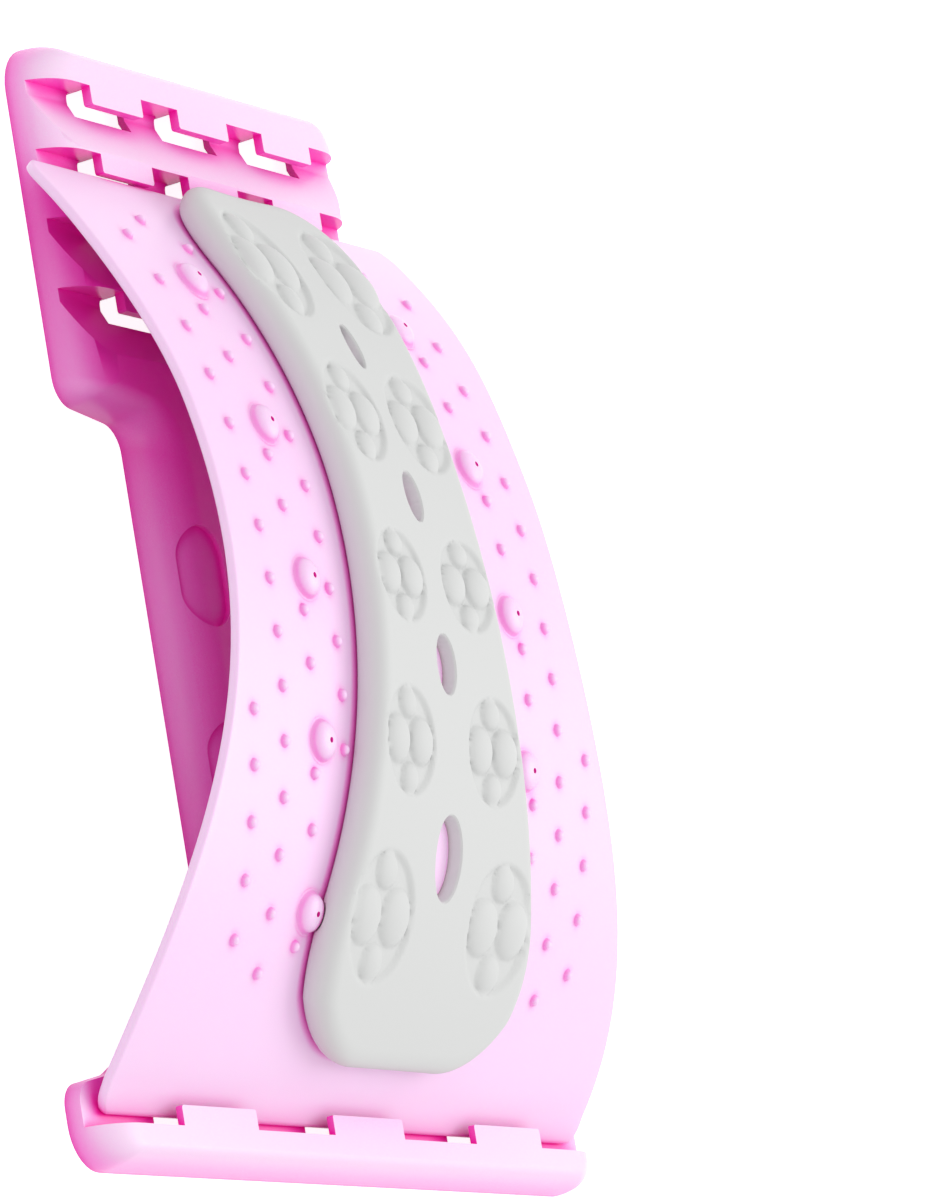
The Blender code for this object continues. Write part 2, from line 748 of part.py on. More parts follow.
def pad_half_width(x):
    station = station_of(x)
    head, waist, foot = PAD_HEAD_WIDTH / 2, PAD_WAIST_WIDTH / 2, PAD_FOOT_WIDTH / 2
    if station < PAD_WAIST_STATION:
        power, limit = PAD_HEAD_FLARE
        share = (PAD_WAIST_STATION - station) / (PAD_WAIST_STATION - PAD_HEAD_STATION)
        width = waist + (head - waist) * min(share, limit) ** power
    else:
        power, limit = PAD_FOOT_FLARE
        share = (station - PAD_WAIST_STATION) / (PAD_FOOT_STATION - PAD_WAIST_STATION)
        width = waist + (foot - waist) * min(share, limit) ** power
    width -= corner_loss(x - station_x(PAD_START_STATION), PAD_HEAD_RADIUS)
    return width - corner_loss(station_x(PAD_END_STATION) - x, PAD_FOOT_RADIUS)


def pad_bottom():
    return BOARD_HALF + FIT_GAP


def pad_top(share):
    # The upper face is dished across the pad; share is 0 at the middle and 1 at its edge
    return pad_bottom() + PAD_THICKNESS - PAD_DISH * (1 - share * share)


def pad_section(x, end_share):
    # Drawn in sides: narrow at the board, fullest at mid height, rolled over at the top
    w = pad_half_width(x)
    roll = PAD_EDGE_ROLL
    top = pad_bottom() + (pad_top(1.0) - pad_bottom()) * end_share
    low = pad_bottom()
    side = [(w - PAD_DRAW_IN, low), (w, low + (top - low) * PAD_BULGE_SHARE)]
    side += [(w - roll * 0.3, top - roll / 2), (w - roll, top)]
    dish = PAD_DISH * end_share
    middle = [((w - roll) * s, top - dish * (1 - s * s)) for s in (0.5, 0.0, -0.5)]
    right = [(-y, h) for y, h in reversed(side)]
    return [on_board(x, y, h) for y, h in side + middle + right]


def pad_stations():
    start, end = station_x(PAD_START_STATION), station_x(PAD_END_STATION)
    points = [(start + PAD_HEAD_RADIUS * t * t, s) for t, s in PAD_HEAD_TAPER]
    low, high = start + PAD_HEAD_RADIUS, end - PAD_FOOT_RADIUS
    points += [(low + (high - low) * k / PAD_STEPS, 1.0) for k in range(PAD_STEPS + 1)]
    return points + [(end - PAD_FOOT_RADIUS * t * t, s) for t, s in PAD_FOOT_TAPER]


def oval_ring(x, y, radius_x, radius_y, level, segments):
    turn = [2 * math.pi * j / segments for j in range(segments)]
    return [on_board(x + radius_x * math.cos(a), y + radius_y * math.sin(a), level) for a in turn]


def oval(bm, x, y, length, width, low, high, segments, low_scale):
    # A drafted oval plug that follows the board, smaller at its lower end
    rings = [
        oval_ring(x, y, length / 2 * low_scale, width / 2 * low_scale, low, segments),
        oval_ring(x, y, length / 2, width / 2, high, segments),
    ]
    loft(bm, rings)


def knob(bm, x, y, radius_x, radius_y, low, high):
    # One rounded lobe of a flower, drawn in at its shoulder and closed by a tip
    count = KNOB_SEGMENTS
    share, scale = KNOB_SHOULDER
    shoulder = low + (high - low) * share
    rings = [
        oval_ring(x, y, radius_x, radius_y, low, count),
        oval_ring(x, y, radius_x * scale, radius_y * scale, shoulder, count),
    ]
    lower, upper = [[bm.verts.new(point) for point in ring] for ring in rings]
    tip = bm.verts.new(on_board(x, y, high))
    bm.faces.new(list(reversed(lower)))
    for j in range(count):
        k = (j + 1) % count
        bm.faces.new((lower[j], lower[k], upper[k], upper[j]))
        bm.faces.new((upper[j], upper[k], tip))


def flower_places():
    # Middle of each flower, its length and width, and the pad's top there
    for station, offset, length, width in FLOWERS:
        x = station_x(station)
        for y in (-offset, offset):
            yield x, y, length, width, pad_top(offset / pad_half_width(x))


def make_pad():
    bm = bmesh.new()
    loft(bm, [pad_section(x, share) for x, share in pad_stations()])
    pad = link_object("massage_pad", bm, make_material("pad_foam", (0.72, 0.74, 0.72), 0.75))
    over = pad_top(1.0) + CUT_EXTRA

    bm = bmesh.new()
    for x, y, length, width, top in flower_places():
        oval(bm, x, y, length, width, top - FLOWER_DEPTH, over, FLOWER_SEGMENTS, FLOWER_FLOOR_SCALE)
    add_boolean(pad, as_cutter(link_object("cut_flowers", bm)), "DIFFERENCE")

    # Side and end knobs, in two cutters so that no two shapes of one cutter meet
    side_knobs, end_knobs = bmesh.new(), bmesh.new()
    for x, y, length, width, top in flower_places():
        floor = top - FLOWER_DEPTH
        for turn in (-1, 1):
            size, wide = length * SIDE_KNOB_LENGTH, width * SIDE_KNOB_WIDTH
            knob_y = y + turn * width * SIDE_KNOB_OFFSET
            knob(side_knobs, x, knob_y, size, wide, floor - KNOB_SINK, top + KNOB_RISE)
            size, wide = length * END_KNOB_LENGTH, width * END_KNOB_WIDTH
            knob_x = x + turn * length * END_KNOB_OFFSET
            knob(end_knobs, knob_x, y, size, wide, floor - END_KNOB_SINK, top + END_KNOB_RISE)
    add_boolean(pad, as_cutter(link_object("add_end_knobs", end_knobs)), "UNION")
    add_boolean(pad, as_cutter(link_object("add_side_knobs", side_knobs)), "UNION")

    bm = bmesh.new()
    for station, length, width in PAD_SLOTS:
        low = pad_bottom() - CUT_EXTRA
        oval(bm, station_x(station), 0.0, length, width, low, over, SLOT_SEGMENTS, SLOT_FLOOR_SCALE)
    add_boolean(pad, as_cutter(link_object("cut_slots", bm)), "DIFFERENCE")

    # Pockets for the domes that the pad's edge overlies
    bm = bmesh.new()
    for _, _, x, y in dome_places():
        if DOME_OFFSET - DOME_RADIUS < pad_half_width(x) + FIT_GAP:
            radius, height = DOME_RADIUS + 2 * FIT_GAP, DOME_HEIGHT + 2 * FIT_GAP
            cap(bm, x, y, radius, height, BOARD_HALF, DOME_RINGS, DOME_SEGMENTS, NUB_SINK)
    if bm.verts:
        add_boolean(pad, as_cutter(link_object("cut_dome_pockets", bm)), "DIFFERENCE")
    shade(pad, math.radians(40))
    return pad


def make_all():
    clear_scene()
    base = make_base()
    turning_line = bpy.data.objects.new("board_turning_line", None)
    turning_line.location = (NOSE_X, 0.0, NOSE_Z)
    turning_line.parent = base
    bpy.context.scene.collection.objects.link(turning_line)
    bpy.context.view_layer.update()
    for item in [make_board(), make_pad()] + make_magnets():
        item.parent = turning_line
        item.matrix_parent_inverse = turning_line.matrix_world.inverted()


make_all()
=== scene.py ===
# Back stretcher: pink moulded ABS base and arch board, a pale grey foam pad, ferrite discs under the domes.
# Metres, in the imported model's own frame: +X from the notched head end to the foot end, +Z up off the floor.
import json
import math

import bmesh
import bpy
from mathutils import Matrix, Vector

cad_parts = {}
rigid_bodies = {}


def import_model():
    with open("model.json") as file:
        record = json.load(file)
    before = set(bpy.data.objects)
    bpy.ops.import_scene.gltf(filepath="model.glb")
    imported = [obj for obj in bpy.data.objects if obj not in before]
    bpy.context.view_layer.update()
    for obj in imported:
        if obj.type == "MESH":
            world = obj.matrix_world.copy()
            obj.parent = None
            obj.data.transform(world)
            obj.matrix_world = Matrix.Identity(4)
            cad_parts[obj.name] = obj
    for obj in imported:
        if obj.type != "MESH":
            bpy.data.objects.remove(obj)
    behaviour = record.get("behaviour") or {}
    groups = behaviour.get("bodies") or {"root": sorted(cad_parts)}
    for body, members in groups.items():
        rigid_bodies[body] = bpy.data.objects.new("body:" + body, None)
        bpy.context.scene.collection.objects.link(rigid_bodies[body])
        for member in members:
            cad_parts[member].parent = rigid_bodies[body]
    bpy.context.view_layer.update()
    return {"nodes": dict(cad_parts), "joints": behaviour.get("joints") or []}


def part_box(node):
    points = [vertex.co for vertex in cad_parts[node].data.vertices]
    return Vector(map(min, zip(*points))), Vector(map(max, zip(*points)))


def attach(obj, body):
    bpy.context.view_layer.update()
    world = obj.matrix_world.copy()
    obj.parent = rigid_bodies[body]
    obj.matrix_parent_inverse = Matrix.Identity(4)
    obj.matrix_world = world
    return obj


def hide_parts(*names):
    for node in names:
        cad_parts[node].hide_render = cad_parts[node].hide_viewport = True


for item in list(bpy.data.objects):
    bpy.data.objects.remove(item, do_unlink=True)

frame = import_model()
baseLow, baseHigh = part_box("base")
headX, footX, baseHeight = baseLow.x, baseHigh.x, baseHigh.z
noseX, _, noseZ = frame["joints"][0]["pos_m"]  # the line that the board turns on, in the foot groove
fitGap = 0.0003
cutExtra = 0.002
print("frame loaded:", len(frame["nodes"]), "nodes")


# Small helpers

def smoothStep(t):
    t = min(max(t, 0.0), 1.0)
    return t * t * (3 - 2 * t)


def cornerLoss(distance, radius):
    if distance >= radius:
        return 0.0
    return radius - math.sqrt(max(radius * radius - (radius - distance) ** 2, 0.0))


def makePiece(name, bm, smoothAngle=35):
    bmesh.ops.recalc_face_normals(bm, faces=bm.faces)
    mesh = bpy.data.meshes.new(name)
    bm.to_mesh(mesh)
    bm.free()
    piece = bpy.data.objects.new(name, mesh)
    bpy.context.scene.collection.objects.link(piece)
    mesh.shade_smooth()
    mesh.set_sharp_from_angle(angle=math.radians(smoothAngle))
    return piece


def skin(bm, rings):
    # A closed skin over rings of points, with both ends capped
    layers = [[bm.verts.new(point) for point in ring] for ring in rings]
    count = len(rings[0])
    for low, high in zip(layers, layers[1:]):
        for i in range(count):
            j = (i + 1) % count
            bm.faces.new((low[i], low[j], high[j], high[i]))
    bm.faces.new(list(reversed(layers[0])))
    bm.faces.new(layers[-1])


def combine(piece, tool, operation, solver="EXACT"):
    modifier = piece.modifiers.new(tool.name, "BOOLEAN")
    modifier.operation = operation
    modifier.solver = solver
    modifier.object = tool


def settle(piece, smoothAngle=35):
    # Write the modifiers' result into the mesh, and drop the tools that they used
    tools = [m.object for m in piece.modifiers if m.type == "BOOLEAN"]
    graph = bpy.context.evaluated_depsgraph_get()
    mesh = bpy.data.meshes.new_from_object(piece.evaluated_get(graph))
    piece.modifiers.clear()
    piece.data = mesh
    for tool in tools:
        bpy.data.objects.remove(tool, do_unlink=True)
    mesh.shade_smooth()
    mesh.set_sharp_from_angle(angle=math.radians(smoothAngle))


def roundedBlock(bm, low, high, radius, steps=5, corners=(True, True, True, True)):
    # An upright block; corners tells which of -X-Y, +X-Y, +X+Y, -X+Y are rounded
    places = [(low[0], low[1], 180), (high[0], low[1], 270), (high[0], high[1], 0), (low[0], high[1], 90)]
    outline = []
    for (x, y, start), isRound in zip(places, corners):
        if not isRound:
            outline.append((x, y))
            continue
        cx = x + radius if x == low[0] else x - radius
        cy = y + radius if y == low[1] else y - radius
        for k in range(steps + 1):
            angle = math.radians(start + 90 * k / steps)
            outline.append((cx + radius * math.cos(angle), cy + radius * math.sin(angle)))
    skin(bm, [[(x, y, z) for x, y in outline] for z in (low[2], high[2])])


# Materials

def toLinear(hexColour):
    channels = [int(hexColour[i:i + 2], 16) / 255 for i in (1, 3, 5)]
    return tuple(c / 12.92 if c <= 0.04045 else ((c + 0.055) / 1.055) ** 2.4 for c in channels) + (1.0,)


def addNode(tree, kind, settings=None, links=None):
    node = tree.nodes.new(kind)
    for name, value in (settings or {}).items():
        if name in node.inputs:
            node.inputs[name].default_value = value
        else:
            setattr(node, name, value)
    for name, source in (links or {}).items():
        tree.links.new(source, node.inputs[name])
    return node


def newMaterial(name):
    material = bpy.data.materials.new(name)
    material.use_nodes = True
    tree = material.node_tree
    tree.nodes.clear()
    output = addNode(tree, "ShaderNodeOutputMaterial")
    where = addNode(tree, "ShaderNodeTexCoord").outputs["Object"]
    return material, tree, output, where


absFinish = {
    # The deep and half tones are painted shade: ambient occlusion mixes them into the colour in hollows,
    # creases and under the arch
    "baseFaceHex": "#FFDEFB", "baseDeepHex": "#FF34BE",
    "boardFaceHex": "#FFD8FC", "boardDeepHex": "#FF3CC6",
    "midHex": "#FF94E2",
    "deepAt": 0.28, "midAt": 0.66, "faceAt": 0.94,  # how open a place is where each tone is reached
    "hollowReach": 0.070,    # how far around a point the cavity is judged
    "creaseReach": 0.003,    # the same for nubs, seams and inner corners
    "creaseFloor": 0.40,     # and how much of the tone the tightest of these keeps
    "flow": 0.060,           # slow drift of colour along the moulding's flow
    "flowSaturation": 1.04,
    "grain": 0.0009,         # spark-eroded mould texture is about 0.1 mm; drawn coarser so that it shows
    "grainDepth": 0.00012, "grainStrength": 0.05,
    "roughness": 0.36, "ior": 1.53,
    "glow": 0.12, "glowReach": 0.003, "glowTint": (1.0, 0.35, 0.8),  # the light that the wall lets through
}


def mouldedAbs(name, faceHex, deepHex, ownHollows):
    # Injection moulded ABS: satin, even and slightly translucent; the deeper pink in its hollows and creases
    # is painted shade,
    #  mixed into the colour by ambient occlusion; ownHollows leaves other pieces out of this painted shade
    material, tree, output, where = newMaterial(name)
    # Painted shade: a wide occlusion darkens hollows and the web under the arch, a small one darkens nub
    # bases, seams and inner corners
    occlusionShade = addNode(tree, "ShaderNodeAmbientOcclusion", {
        "samples": 8, "Distance": absFinish["hollowReach"], "only_local": ownHollows,
    })
    creaseShade = addNode(tree, "ShaderNodeAmbientOcclusion", {"samples": 8, "Distance": absFinish["creaseReach"]})
    creaseShadeTint = addNode(tree, "ShaderNodeMapRange", {
        "To Min": absFinish["creaseFloor"],
    }, {"Value": creaseShade.outputs["AO"]})
    both = addNode(tree, "ShaderNodeMath", {"operation": "MULTIPLY"})
    tree.links.new(occlusionShade.outputs["AO"], both.inputs[0])
    tree.links.new(creaseShadeTint.outputs["Result"], both.inputs[1])
    drift = addNode(tree, "ShaderNodeTexNoise", {
        "Scale": 1 / absFinish["flow"], "Detail": 2.0,
    }, {"Vector": where})
    # The colour ramp paints shade: deep magenta where little light reaches, the plain face pink where the
    # surface is open
    tone = addNode(tree, "ShaderNodeValToRGB", {}, {"Fac": both.outputs["Value"]})
    tone.color_ramp.elements[0].position = absFinish["deepAt"]
    tone.color_ramp.elements[0].color = toLinear(deepHex)
    tone.color_ramp.elements[1].position = absFinish["faceAt"]
    tone.color_ramp.elements[1].color = toLinear(faceHex)
    tone.color_ramp.elements.new(absFinish["midAt"]).color = toLinear(absFinish["midHex"])
    shift = addNode(tree, "ShaderNodeHueSaturation", {
        "Saturation": absFinish["flowSaturation"],
    }, {"Color": tone.outputs["Color"]})
    colour = addNode(tree, "ShaderNodeMix", {"data_type": "RGBA"}, {"Factor": drift.outputs["Fac"]})
    tree.links.new(tone.outputs["Color"], colour.inputs["A"])
    tree.links.new(shift.outputs["Color"], colour.inputs["B"])
    grain = addNode(tree, "ShaderNodeTexNoise", {
        "Scale": 1 / absFinish["grain"], "Detail": 3.0,
    }, {"Vector": where})
    bump = addNode(tree, "ShaderNodeBump", {
        "Strength": absFinish["grainStrength"], "Distance": absFinish["grainDepth"],
    }, {"Height": grain.outputs["Fac"]})
    shader = addNode(tree, "ShaderNodeBsdfPrincipled", {
        "Roughness": absFinish["roughness"],
        "IOR": absFinish["ior"],
        "Subsurface Weight": absFinish["glow"],
        "Subsurface Radius": absFinish["glowTint"],
        "Subsurface Scale": absFinish["glowReach"],
    }, {"Base Color": colour.outputs["Result"], "Normal": bump.outputs["Normal"]})
    tree.links.new(shader.outputs["BSDF"], output.inputs["Surface"])
    return material


foamFinish = {
    # The darker grey is painted shade, which ambient occlusion puts in the pad's folds and slot walls
    "faceHex": "#D8D9D8", "deepHex": "#808282", "deepAt": 0.25, "faceAt": 0.86,
    "foldReach": 0.006,  # how far around a point a fold is judged
    "cell": 0.0011, "cellDepth": 0.0001, "cellStrength": 0.08,
    "roughness": 0.62, "ior": 1.45, "gloss": 0.35,
}


def mouldedFoam(name):
    # Closed cell foam with a moulded skin: matt, pale and with a faint cell pattern; the grey in its folds is
    # painted shade from ambient occlusion
    material, tree, output, where = newMaterial(name)
    # Painted shade: ambient occlusion greys the foam in its folds and slots
    occlusionShade = addNode(tree, "ShaderNodeAmbientOcclusion", {
        "samples": 8, "Distance": foamFinish["foldReach"], "only_local": True,
    })
    tone = addNode(tree, "ShaderNodeValToRGB", {}, {"Fac": occlusionShade.outputs["AO"]})
    tone.color_ramp.elements[0].position = foamFinish["deepAt"]
    tone.color_ramp.elements[0].color = toLinear(foamFinish["deepHex"])
    tone.color_ramp.elements[1].position = foamFinish["faceAt"]
    tone.color_ramp.elements[1].color = toLinear(foamFinish["faceHex"])
    cells = addNode(tree, "ShaderNodeTexVoronoi", {"Scale": 1 / foamFinish["cell"]}, {"Vector": where})
    bump = addNode(tree, "ShaderNodeBump", {
        "Strength": foamFinish["cellStrength"], "Distance": foamFinish["cellDepth"],
    }, {"Height": cells.outputs["Distance"]})
    shader = addNode(tree, "ShaderNodeBsdfPrincipled", {
        "Roughness": foamFinish["roughness"],
        "IOR": foamFinish["ior"],
        "Specular IOR Level": foamFinish["gloss"],
    }, {"Base Color": tone.outputs["Color"], "Normal": bump.outputs["Normal"]})
    tree.links.new(shader.outputs["BSDF"], output.inputs["Surface"])
    return material


ferriteFinish = {
    "darkHex": "#1E1E20", "paleHex": "#37373B",
    "grit": 0.0008, "gritDepth": 0.0001, "gritStrength": 0.2,
    "roughness": 0.5, "metallic": 0.3,
}


def sinteredFerrite(name):
    # Pressed and sintered ferrite: near black, dull, with a fine ground grit
    material, tree, output, where = newMaterial(name)
    grit = addNode(tree, "ShaderNodeTexNoise", {
        "Scale": 1 / ferriteFinish["grit"], "Detail": 4.0,
    }, {"Vector": where})
    tone = addNode(tree, "ShaderNodeValToRGB", {}, {"Fac": grit.outputs["Fac"]})
    tone.color_ramp.elements[0].color = toLinear(ferriteFinish["darkHex"])
    tone.color_ramp.elements[1].color = toLinear(ferriteFinish["paleHex"])
    bump = addNode(tree, "ShaderNodeBump", {
        "Strength": ferriteFinish["gritStrength"], "Distance": ferriteFinish["gritDepth"],
    }, {"Height": grit.outputs["Fac"]})
    shader = addNode(tree, "ShaderNodeBsdfPrincipled", {
        "Roughness": ferriteFinish["roughness"], "Metallic": ferriteFinish["metallic"],
    }, {"Base Color": tone.outputs["Color"], "Normal": bump.outputs["Normal"]})
    tree.links.new(shader.outputs["BSDF"], output.inputs["Surface"])
    return material


baseAbs = mouldedAbs("pinkMouldedAbs", absFinish["baseFaceHex"], absFinish["baseDeepHex"], False)
boardAbs = mouldedAbs("lightPinkMouldedAbs", absFinish["boardFaceHex"], absFinish["boardDeepHex"], True)
padSkin = mouldedFoam("paleGreyMouldedFoam")
ferrite = sinteredFerrite("sinteredFerrite")
print("materials made")


# The notches, shared by the base and the board that hooks into them
notches = {
    "count": 4, "first": 0.015, "pitch": 0.0247, "depth": 0.009, "hooked": 2,
    "tabCount": 3, "tabPitch": 0.057, "tabWidth": 0.033, "tabReach": 0.0068, "tabThickness": 0.0035,
    "holeReach": 0.0098, "holeMargin": 0.0018, "holeRadius": 0.0030, "tabRadius": 0.0010, "tabRoot": 0.0008,
    "floorLength": 0.0049, "land": 0.001, "openingMargin": 0.0025,
}
footGroove = {
    "lip": 0.0135, "depth": 0.0105, "floor": 0.019, "ramp": 0.024,
    "tabCount": 3, "tabPitch": 0.0974, "tabWidth": 0.047, "tabReach": 0.0070, "tabThickness": 0.0025,
    "holeRadius": 0.0010,
}
hookX = headX + notches["first"] + (notches["hooked"] - 1) * notches["pitch"]
rowFloorZ = baseHeight - notches["depth"]
grooveFloorZ = baseHeight - footGroove["depth"]
footWallX = footX - footGroove["lip"]

# The arch board's own form
board = {
    "layoutStart": 0.0397, "layoutEnd": 0.3750, "thickness": 0.0035,
    "rise": 0.0482, "crown": 0.2085, "halfSpan": 0.1695, "dropSquare": 0.0460, "dropQuartic": 0.0135,
    "headSeat": 0.00415, "footSeat": 0.0074, "noseStraight": 0.0082,
    "headWidth": 0.242, "waistWidth": 0.227, "footWidth": 0.320,
    "headStation": 0.073, "waistStart": 0.143, "waistEnd": 0.155, "footStation": 0.367, "flarePower": 1.36,
    "headCorner": 0.008, "footCorner": 0.007, "edgeRadius": 0.0012,
    "stepsAlong": 170, "stepsAcross": 96, "edgeSteps": 4, "cornerSteps": 8, "noseSteps": 6, "tipSteps": 8,
}
half = board["thickness"] / 2


def stationX(station):
    stretch = (noseX - hookX) / (board["layoutEnd"] - board["layoutStart"])
    return hookX + (station - board["layoutStart"]) * stretch


def stationOf(x):
    stretch = (noseX - hookX) / (board["layoutEnd"] - board["layoutStart"])
    return board["layoutStart"] + (x - hookX) / stretch


crownX = stationX(board["crown"])
straightX = noseX - board["noseStraight"]


def archDrop(x):
    u = (x - crownX) / board["halfSpan"]
    return board["dropSquare"] * u * u + board["dropQuartic"] * u ** 4


def archZ(x):
    crownZ = baseHeight + board["rise"]
    if x < crownX:
        seatX, seatZ = hookX + notches["tabReach"] + fitGap, rowFloorZ + board["headSeat"]
    else:
        seatX, seatZ = straightX, grooveFloorZ + board["footSeat"]
    return crownZ - (crownZ - seatZ) * archDrop(x) / archDrop(seatX)


def boardZ(x):
    if x <= straightX:
        return archZ(x)
    share = (x - straightX) / board["noseStraight"]
    return archZ(straightX) * (1 - share) + noseZ * share


def slopeAt(x, step=0.0005):
    return (boardZ(x + step) - boardZ(x - step)) / (2 * step)


def findBoardStart():
    # The board's end is square to its slope, and the slope depends on where it ends, so it is found in rounds
    tip = hookX + notches["tabReach"] + fitGap
    x = tip
    for _ in range(12):
        x = tip + half * math.sin(math.atan(slopeAt(x)))
    return x


boardStartX = findBoardStart()


def boardNormal(x):
    return Vector((-slopeAt(min(max(x, boardStartX), noseX)), 0.0, 1.0)).normalized()


def onBoard(x, y, height):
    return Vector((x, y, boardZ(x))) + boardNormal(x) * height


def boardHalfWidth(x):
    station = stationOf(x)
    waist = board["waistWidth"] / 2
    if station < board["waistStart"]:
        share = (board["waistStart"] - station) / (board["waistStart"] - board["headStation"])
        width = waist + (board["headWidth"] / 2 - waist) * smoothStep(share)
    else:
        share = max(station - board["waistEnd"], 0.0) / (board["footStation"] - board["waistEnd"])
        width = waist + (board["footWidth"] / 2 - waist) * smoothStep(share ** board["flarePower"])
    width -= cornerLoss(x - boardStartX, board["headCorner"])
    return width - cornerLoss(noseX + half - x, board["footCorner"])


# Base moulding
base = {
    "wall": 0.0025, "rim": 0.0005, "endRoll": 0.007, "sideRoll": 0.020, "rollSteps": 14, "cornerSteps": 9,
    "headLength": 0.128, "headWidth": 0.206, "headCorner": 0.018,
    "shoulder": 0.010, "slant": 0.005, "waistWidth": 0.1305,
    "footLength": 0.033, "footWidth": baseHigh.y - baseLow.y, "footCorner": 0.015, "footInner": 0.009,
    "flareLength": 0.040, "flareWidth": 0.285, "smallestFillet": 0.0008,
    "reliefLength": 0.036, "reliefWidth": 0.024, "reliefDepth": 0.0018, "reliefOffset": 0.0475,
    "reliefStations": (0.187, 0.256), "reliefSlices": 28, "reliefTip": 0.35,
    "edgeBevel": 0.0006, "bevelSteps": 3, "bevelAngle": 34,
}


def turnAt(points, i):
    before, here, after = points[i - 1], points[i], points[(i + 1) % len(points)]
    into, out = (here - before).normalized(), (after - here).normalized()
    return into, out, Vector((-into.y, into.x)), Vector((-out.y, out.x)), into.x * out.y - into.y * out.x


def baseRing(insetX, insetY, z):
    # The base's outline, drawn in by one amount at its ends and another along its sides
    headInner, footInner = headX + base["headLength"], footX - base["footLength"]
    headHalf, waistHalf, footHalf = base["headWidth"] / 2, base["waistWidth"] / 2, base["footWidth"] / 2
    side = [
        (footX, footHalf, base["footCorner"]),
        (footInner + base["slant"], footHalf, base["footInner"]),
        (footInner, base["flareWidth"] / 2, base["shoulder"]),
        (footInner - base["flareLength"], waistHalf, base["shoulder"]),
        (headInner + base["slant"], waistHalf, base["shoulder"]),
        (headInner, headHalf, base["shoulder"]),
        (headX, headHalf, base["headCorner"]),
    ]
    corners = side + [(x, -y, r) for x, y, r in reversed(side)]
    outline = [Vector(corner[:2]) for corner in corners]
    drawn = []
    for i, here in enumerate(outline):
        _, _, normalIn, normalOut, _ = turnAt(outline, i)
        mitre = (normalIn + normalOut) / (1 + normalIn.dot(normalOut))
        drawn.append(here + Vector((mitre.x * insetX, mitre.y * insetY)))
    steps = base["cornerSteps"]
    points = []
    for i, corner in enumerate(drawn):
        into, out, normalIn, _, turn = turnAt(drawn, i)
        radius = max(corners[i][2] - math.copysign((insetX + insetY) / 2, turn), base["smallestFillet"])
        halfTurn = math.atan2(abs(turn), into.dot(out)) / 2
        way = math.copysign(1, turn)
        start = corner - into * radius * math.tan(halfTurn)
        centre = start + normalIn * radius * way
        spoke = start - centre
        for k in range(steps + 1):
            angle = way * 2 * halfTurn * k / steps
            c, s = math.cos(angle), math.sin(angle)
            points.append((centre.x + spoke.x * c - spoke.y * s, centre.y + spoke.x * s + spoke.y * c, z))
    return points


def rolledSolid(name, wall, lowZ):
    # The base's rounded form, a wall's thickness inside its outer face
    bm = bmesh.new()
    rings = [baseRing(wall, wall, lowZ)]
    for k in range(base["rollSteps"] + 1):
        angle = math.pi / 2 * k / base["rollSteps"]
        draw = 1 - math.cos(angle)
        endInset, sideInset = (wall + (base[roll] - wall) * draw for roll in ("endRoll", "sideRoll"))
        z = base["rim"] + (baseHeight - wall - base["rim"]) * math.sin(angle)
        rings.append(baseRing(endInset, sideInset, z))
    skin(bm, rings)
    return makePiece(name, bm)


def rampOffsets():
    # After a short flat floor, the ramp rises nearly to the next row's wall
    return notches["floorLength"], notches["pitch"] - notches["land"]


def prismY(bm, profile, halfY):
    skin(bm, [[(x, y, z) for x, z in profile] for y in (-halfY, halfY)])


def rowXs():
    return [headX + notches["first"] + i * notches["pitch"] for i in range(notches["count"])]


def centres(count, pitch):
    return [(i - (count - 1) / 2) * pitch for i in range(count)]


def makeGrooves():
    bm = bmesh.new()
    foot, crest = rampOffsets()
    over = (crest - foot) / notches["depth"] * fitGap
    top = baseHeight + fitGap
    for x in rowXs():
        profile = [(x, top), (x, rowFloorZ), (x + foot, rowFloorZ), (x + crest + over, top)]
        prismY(bm, profile, base["headWidth"] / 2 + cutExtra)
    top = baseHeight + cutExtra
    floorX = footWallX - footGroove["floor"]
    over = cutExtra * footGroove["ramp"] / footGroove["depth"]
    profile = [(footWallX, top), (floorX - footGroove["ramp"] - over, top)]
    profile += [(floorX, grooveFloorZ), (footWallX, grooveFloorZ)]
    prismY(bm, profile, base["footWidth"] / 2 + cutExtra)
    return makePiece("toolGrooves", bm)


def makeUnderside():
    wall, low = base["wall"], -cutExtra
    roof, rowRoof, footRoof = baseHeight - wall, rowFloorZ - wall, grooveFloorZ - wall
    foot, crest = rampOffsets()
    slope = notches["depth"] / (crest - foot)
    upright = wall * math.hypot(1, slope)
    rows = rowXs()
    profile = [(headX - cutExtra, low), (headX - cutExtra, roof), (rows[0] - wall, roof)]
    for i, x in enumerate(rows):
        bend = x + foot + (upright - wall) / slope
        end = rows[i + 1] - wall if i + 1 < len(rows) else bend + (roof - rowRoof) / slope
        profile += [(x - wall, rowRoof), (bend, rowRoof), (end, rowRoof + (end - bend) * slope)]
    floorX = footWallX - footGroove["floor"]
    profile += [(floorX - footGroove["ramp"] - wall / 2, roof), (floorX - wall / 2, footRoof)]
    profile += [(footWallX + wall, footRoof), (footWallX + wall, roof)]
    profile += [(footX + cutExtra, roof), (footX + cutExtra, low)]
    bm = bmesh.new()
    prismY(bm, profile, base["footWidth"])
    hollow = rolledSolid("toolHollow", wall, -cutExtra)
    combine(hollow, makePiece("toolRoof", bm), "INTERSECT")
    settle(hollow)
    return hollow


def makeHoles():
    bm = bmesh.new()
    top = baseHeight + cutExtra
    for x in rowXs():
        for y in centres(notches["tabCount"], notches["tabPitch"]):
            reach = notches["tabWidth"] / 2 + notches["holeMargin"]
            low, high = (x, y - reach, -cutExtra), (x + notches["holeReach"], y + reach, top)
            roundedBlock(bm, low, high, notches["holeRadius"], corners=(True, False, False, True))
    for y in centres(footGroove["tabCount"], footGroove["tabPitch"]):
        reach = footGroove["tabWidth"] / 2 + notches["holeMargin"]
        low, high = (footWallX - footGroove["tabReach"], y - reach, -cutExtra), (footWallX, y + reach, top)
        roundedBlock(bm, low, high, footGroove["holeRadius"])
    return makePiece("toolHoles", bm)


